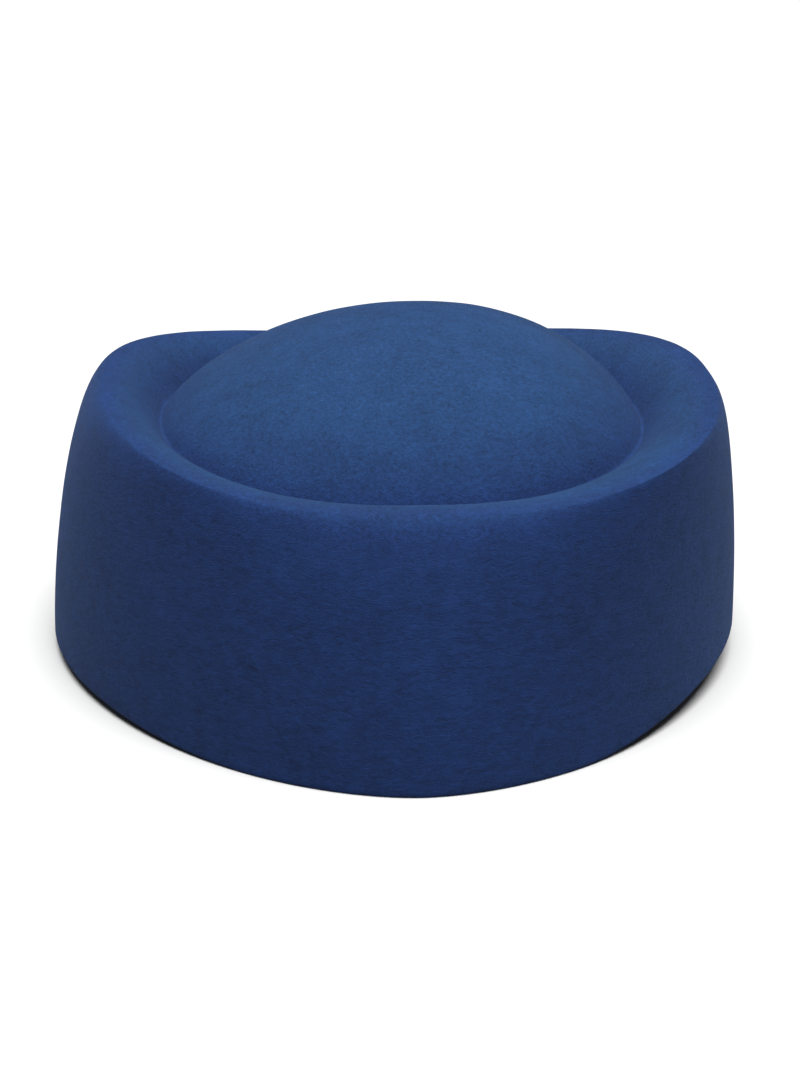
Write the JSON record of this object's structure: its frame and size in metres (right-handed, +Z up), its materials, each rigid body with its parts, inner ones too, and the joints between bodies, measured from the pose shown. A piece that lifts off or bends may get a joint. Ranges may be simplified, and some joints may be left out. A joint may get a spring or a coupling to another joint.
{
  "type": "pillbox hat",
  "caption": "Oval felt pillbox hat with a tall plain band, a soft raised rim and a low domed crown inside it; rests on its lower edge",
  "frame": {"origin": "under the middle of the lower edge's outline, on the surface that the hat rests on", "axes": "+Z up, the hat's front towards -Y, +X to the right of a viewer who faces the front"},
  "size_m": [0.189, 0.205, 0.0912],
  "materials": {
    "wool_felt": "blocked wool felt, matt with a soft nap"
  },
  "bodies": {
    "root": {"felt_body": "wool_felt"}
  },
  "joints": []
}
